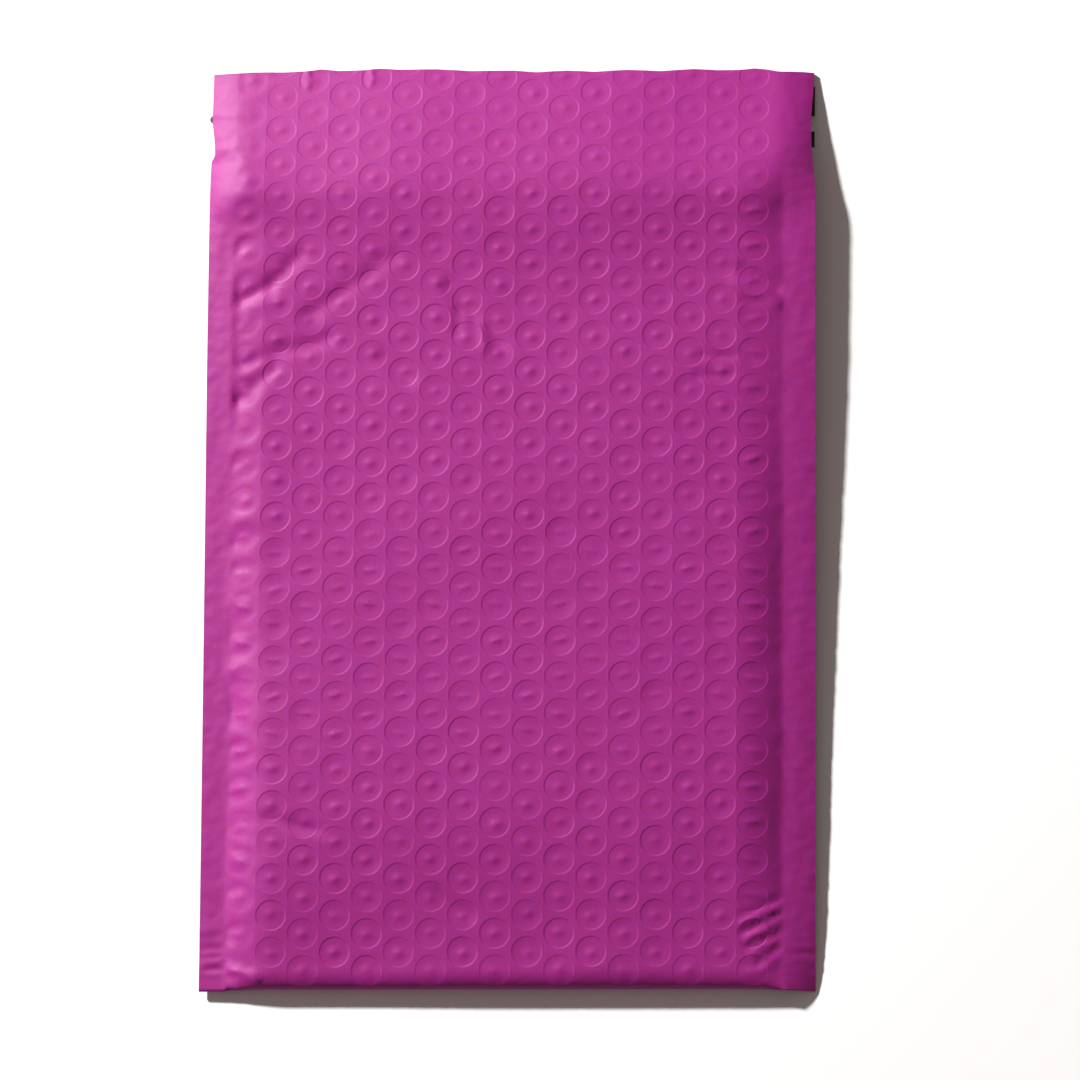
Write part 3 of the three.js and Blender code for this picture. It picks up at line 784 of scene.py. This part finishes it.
def node(tree, kind, settings=None, **links):
    """Adds a node, sets its sockets and attributes, and links its inputs."""
    made = tree.nodes.new(kind)
    for name, value in (settings or {}).items():
        if name in made.inputs:
            made.inputs[name].default_value = value
        else:
            setattr(made, name, value)
    for name, source in links.items():
        tree.links.new(source, made.inputs[name.replace("_", " ")])
    return made


def new_material(name):
    """A material without nodes, and its tree."""
    material = bpy.data.materials.new(name)
    material.use_nodes = True
    tree = material.node_tree
    tree.nodes.clear()
    return material, tree


def finish_shader(tree, shader):
    """Links the shader to the material's output."""
    output = node(tree, "ShaderNodeOutputMaterial")
    tree.links.new(shader.outputs[0], output.inputs["Surface"])


def film_material(colours, lie):
    """Polyethylene film, blown and pigmented: satin, with broad soft highlights."""
    material, tree = new_material("satin_polyethylene_film")
    place = node(tree, "ShaderNodeTexCoord").outputs["Object"]
    # the pigment lies uneven, so the colour clouds from a warmer to a cooler magenta
    cloudy = node(tree, "ShaderNodeTexNoise", {"Scale": MOTTLE, "Detail": 4}, Vector=place)
    tone = node(tree, "ShaderNodeMix", {"data_type": "RGBA"})
    tree.links.new(cloudy.outputs["Fac"], tone.inputs["Factor"])
    for socket, shares in ((6, WARM_PIGMENT), (7, COOL_PIGMENT)):
        parts = [min(1, part * share) for part, share in zip(colours.film, shares)]
        tone.inputs[socket].default_value = (*parts, 1)
    # the lining's webs press through as faint lines between the bubble columns
    across = node(tree, "ShaderNodeSeparateXYZ", Vector=place).outputs["X"]
    seam = COLUMN_OFFSET + lie.shift.x + lie.sizes.pitch_x / 2
    shifted = node(tree, "ShaderNodeMath", {"operation": "SUBTRACT"})
    tree.links.new(across, shifted.inputs[0])
    shifted.inputs[1].default_value = seam
    web = node(tree, "ShaderNodeMath", {"operation": "PINGPONG"})
    tree.links.new(shifted.outputs[0], web.inputs[0])
    web.inputs[1].default_value = lie.sizes.pitch_x / 2
    line = node(
        tree, "ShaderNodeMapRange", {"From Max": WEB_LINE, "To Min": WEB_RISE, "To Max": 0.0})
    tree.links.new(web.outputs[0], line.inputs["Value"])
    padded = node(tree, "ShaderNodeMath", {"operation": "COMPARE"})
    tree.links.new(across, padded.inputs[0])
    padded.inputs[1].default_value = (lie.left_seam + lie.right_seam) / 2 + lie.shift.x
    padded.inputs[2].default_value = (lie.right_seam - lie.left_seam) / 2 - lie.sizes.pitch_x / 2
    web_line = node(tree, "ShaderNodeMath", {"operation": "MULTIPLY"})
    tree.links.new(line.outputs["Result"], web_line.inputs[0])
    tree.links.new(padded.outputs[0], web_line.inputs[1])
    # the drawn film has a fine orange peel, which breaks its highlights up
    grain = node(tree, "ShaderNodeTexNoise", {"Scale": ORANGE_PEEL, "Detail": 4}, Vector=place)
    height = node(tree, "ShaderNodeMath", {"operation": "ADD"})
    tree.links.new(grain.outputs["Fac"], height.inputs[0])
    tree.links.new(web_line.outputs[0], height.inputs[1])
    bump = node(tree, "ShaderNodeBump", {"Strength": 0.5, "Distance": 0.08 * MM},
                Height=height.outputs[0])
    shader = node(tree, "ShaderNodeBsdfPrincipled", {"Roughness": 0.6, "IOR": 1.5})
    tree.links.new(tone.outputs[2], shader.inputs["Base Color"])
    tree.links.new(bump.outputs["Normal"], shader.inputs["Normal"])
    finish_shader(tree, shader)
    return material


def adhesive_material(colours):
    """Hot-melt rubber, drawn on as a strip: nearly black, with a dull and tacky shine."""
    material, tree = new_material("dark_hot_melt_adhesive")
    place = node(tree, "ShaderNodeTexCoord").outputs["Object"]
    grain = node(tree, "ShaderNodeTexNoise", {"Scale": ADHESIVE_GRAIN, "Detail": 2}, Vector=place)
    bump = node(tree, "ShaderNodeBump", {"Strength": 0.4, "Distance": 0.1 * MM},
                Height=grain.outputs["Fac"])
    shader = node(tree, "ShaderNodeBsdfPrincipled",
                  {"Roughness": 0.4, "IOR": 1.5, "Base Color": (*colours.adhesive, 1)})
    tree.links.new(bump.outputs["Normal"], shader.inputs["Normal"])
    finish_shader(tree, shader)
    return material


def liner_material(colours):
    """Polyethylene release film, coated with silicone: white and smooth, with a soft gloss."""
    material, tree = new_material("silicone_coated_release_film")
    place = node(tree, "ShaderNodeTexCoord").outputs["Object"]
    grain = node(tree, "ShaderNodeTexNoise", {"Scale": LINER_GRAIN, "Detail": 2}, Vector=place)
    bump = node(tree, "ShaderNodeBump", {"Strength": 0.15, "Distance": 0.1 * MM},
                Height=grain.outputs["Fac"])
    shader = node(tree, "ShaderNodeBsdfPrincipled",
                  {"Roughness": 0.3, "IOR": 1.45, "Base Color": (*colours.liner, 1)})
    tree.links.new(bump.outputs["Normal"], shader.inputs["Normal"])
    finish_shader(tree, shader)
    return material


def floor_material(colours):
    """Board painted matt white: even, and it keeps the shadow."""
    material, tree = new_material("matt_white_board")
    path = node(tree, "ShaderNodeLightPath")
    tone = node(tree, "ShaderNodeMix", {"data_type": "RGBA"})
    tree.links.new(path.outputs["Is Camera Ray"], tone.inputs["Factor"])
    tone.inputs[6].default_value = (FLOOR_BOUNCE, FLOOR_BOUNCE, FLOOR_BOUNCE, 1)
    # the far side of the board is as white to the camera as the side near the window
    tone.inputs[7].default_value = (*(FLOOR_GAIN * part for part in colours.floor), 1)
    shader = node(tree, "ShaderNodeBsdfDiffuse")
    tree.links.new(tone.outputs[2], shader.inputs["Color"])
    finish_shader(tree, shader)
    return material


def new_piece(name, mesh, material):
    """An object with one finish, riding on the mailer."""
    piece = bpy.data.objects.new(name, mesh)
    bpy.context.scene.collection.objects.link(piece)
    mesh.materials.clear()
    mesh.materials.append(material)
    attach(piece, "root")
    return piece


def layer_mesh(name, lie, start, end, depth, thickness, outline, inset=RIGHT_INSET):
    """A thin layer under the flap, from a flat grid whose left end outline(t) draws out."""
    bm = bmesh.new()
    bmesh.ops.create_grid(bm, x_segments=LAYER_GRID[0], y_segments=LAYER_GRID[1], size=0.5)
    left, right = lie.left_edge + LEFT_INSET, lie.right_edge - inset
    bmesh.ops.scale(bm, verts=bm.verts, vec=(right - left, end - start, 1))
    bmesh.ops.translate(bm, verts=bm.verts, vec=((left + right) / 2, (start + end) / 2, 0))
    for v in bm.verts:
        share = max(0, (left + OUTLINE_REACH - v.co.x) / OUTLINE_REACH)
        v.co.x -= outline(v.co.y) * share
    bmesh.ops.solidify(bm, geom=bm.faces[:], thickness=thickness)
    low = min(v.co.z for v in bm.verts)
    for v in bm.verts:
        x, t, under = v.co.x, v.co.y, depth + v.co.z - low
        s = lie.total - t
        v.co = (
            x + lie.shift.x,
            float(lie.along(s)) - under * math.sin(lie.slope) + lie.shift.y,
            float(lie.flap_under(x, s)) - under * math.cos(lie.slope),
        )
    bmesh.ops.recalc_face_normals(bm, faces=bm.faces)
    mesh = bpy.data.meshes.new(name)
    bm.to_mesh(mesh)
    bm.free()
    return mesh


class MAILER_OT_pouch(bpy.types.Operator):
    """Makes the folded and side-sealed sheet with its flap"""

    bl_idname = "mailer.pouch"
    bl_label = "Make the Pouch"

    def execute(self, context):
        lie = Lie(context.scene.mailer_sizes)
        material = film_material(context.scene.mailer_colours, lie)
        piece = new_piece("pouch_sheet", pouch_mesh(lie), material)
        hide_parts("pouch")
        return {"FINISHED"}


class MAILER_OT_strips(bpy.types.Operator):
    """Makes the two adhesive strips under the flap"""

    bl_idname = "mailer.strips"
    bl_label = "Make the Adhesive Strips"

    def execute(self, context):
        lie = Lie(context.scene.mailer_sizes)
        strips = context.scene.mailer_strips
        material = adhesive_material(context.scene.mailer_colours)
        start = WIDE_STRIP_START
        wide_end = start + strips.wide_strip

        def corner(t):
            away = (t - wide_end + CORNER_MIDDLE) / CORNER_HALF
            reach = LEFT_INSET + strips.corner_reach
            return reach * math.sqrt(1 - away**2) if abs(away) < 1 else 0

        for name, width in (
            ("wide_adhesive_strip", strips.wide_strip),
            ("narrow_adhesive_strip", strips.narrow_strip),
        ):
            mesh = layer_mesh(name, lie, start, start + width, CLEARANCE, ADHESIVE, corner)
            piece = new_piece(name.replace("adhesive_strip", "adhesive_bead"), mesh, material)
            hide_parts(name)
            start += width + STRIP_SPACE
        return {"FINISHED"}


class MAILER_OT_liner(bpy.types.Operator):
    """Makes the release liner with its finger tab"""

    bl_idname = "mailer.liner"
    bl_label = "Make the Release Liner"

    def execute(self, context):
        lie = Lie(context.scene.mailer_sizes)
        strips = context.scene.mailer_strips
        both = strips.wide_strip + STRIP_SPACE + strips.narrow_strip
        end = WIDE_STRIP_START + both + LINER_OVERHANG
        middle = end - strips.tab_length / 2

        def tab(t):
            away = (t - middle) / (strips.tab_length / 2)
            if abs(away) >= 1:
                return 0
            return (LEFT_INSET + strips.tab_reach) * math.sqrt(1 - away**2) * (1 + TAB_SKEW * away)

        mesh = layer_mesh(
            "release_liner_film", lie, WIDE_STRIP_START, end, 2 * CLEARANCE + ADHESIVE, LINER, tab,
            LINER_INSET)
        piece = new_piece("release_liner_film", mesh, liner_material(context.scene.mailer_colours))
        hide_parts("release_liner")
        return {"FINISHED"}


class MAILER_OT_stage(bpy.types.Operator):
    """Makes the floor, the lamps and the camera"""

    bl_idname = "mailer.stage"
    bl_label = "Make the Stage"

    def execute(self, context):
        scene = context.scene
        mesh = bpy.data.meshes.new("floor")
        bm = bmesh.new()
        bmesh.ops.create_grid(bm, x_segments=1, y_segments=1, size=FLOOR_HALF)
        bm.to_mesh(mesh)
        bm.free()
        floor = bpy.data.objects.new("floor", mesh)
        scene.collection.objects.link(floor)
        mesh.materials.append(floor_material(scene.mailer_colours))

        # a window lamp at the upper left, near enough that its light falls off to the right
        window = bpy.data.lights.new("window", "POINT")
        window.energy = WINDOW_POWER
        window.shadow_soft_size = WINDOW_RADIUS
        lamp = bpy.data.objects.new("window", window)
        lamp.location = WINDOW_AWAY * Vector(WINDOW_SIDE)
        scene.collection.objects.link(lamp)

        world = bpy.data.worlds.new("room")
        scene.world = world
        world.use_nodes = True
        tree = world.node_tree
        tree.nodes.clear()
        path = node(tree, "ShaderNodeLightPath")
        fill = node(
            tree, "ShaderNodeBackground", {"Color": FILL_TINT, "Strength": FILL_STRENGTH})
        white = node(tree, "ShaderNodeBackground", {"Color": (1, 1, 1, 1), "Strength": 1.0})
        seen = node(tree, "ShaderNodeMixShader")
        tree.links.new(path.outputs["Is Camera Ray"], seen.inputs[0])
        tree.links.new(fill.outputs[0], seen.inputs[1])
        tree.links.new(white.outputs[0], seen.inputs[2])
        output = node(tree, "ShaderNodeOutputWorld")
        tree.links.new(seen.outputs[0], output.inputs["Surface"])

        data = bpy.data.cameras.new("camera")
        data.lens = CAMERA_LENS
        data.sensor_width = SENSOR
        data.clip_end = FAR_CLIP
        camera = bpy.data.objects.new("camera", data)
        camera.location = CAMERA_PLACE
        camera.rotation_euler = CAMERA_TURN
        scene.collection.objects.link(camera)
        scene.camera = camera
        scene.view_settings.view_transform = "Standard"
        return {"FINISHED"}


class MAILER_PT_parts(bpy.types.Panel):
    """Lists the mailer's pieces"""

    bl_idname = "MAILER_PT_parts"
    bl_label = "Padded Mailer"
    bl_space_type = "VIEW_3D"
    bl_region_type = "UI"
    bl_category = "Mailer"

    def draw(self, context):
        for operator in OPERATORS:
            self.layout.operator(operator.bl_idname)
        for group in (
            context.scene.mailer_sizes, context.scene.mailer_strips, context.scene.mailer_colours
        ):
            for name in group.__annotations__:
                self.layout.prop(group, name)


GROUPS = (MailerSizes, StripSizes, MailerColours)
OPERATORS = (MAILER_OT_pouch, MAILER_OT_strips, MAILER_OT_liner, MAILER_OT_stage)


def register():
    for cls in (*GROUPS, *OPERATORS, MAILER_PT_parts):
        bpy.utils.register_class(cls)
    bpy.types.Scene.mailer_sizes = PointerProperty(type=MailerSizes)
    bpy.types.Scene.mailer_strips = PointerProperty(type=StripSizes)
    bpy.types.Scene.mailer_colours = PointerProperty(type=MailerColours)


def unregister():
    del bpy.types.Scene.mailer_colours
    del bpy.types.Scene.mailer_strips
    del bpy.types.Scene.mailer_sizes
    for cls in (MAILER_PT_parts, *reversed(OPERATORS), *reversed(GROUPS)):
        bpy.utils.unregister_class(cls)


def main():
    register()
    bpy.ops.mailer.pouch()
    bpy.ops.mailer.strips()
    bpy.ops.mailer.liner()
    bpy.ops.mailer.stage()


if __name__ == "__main__":
    main()
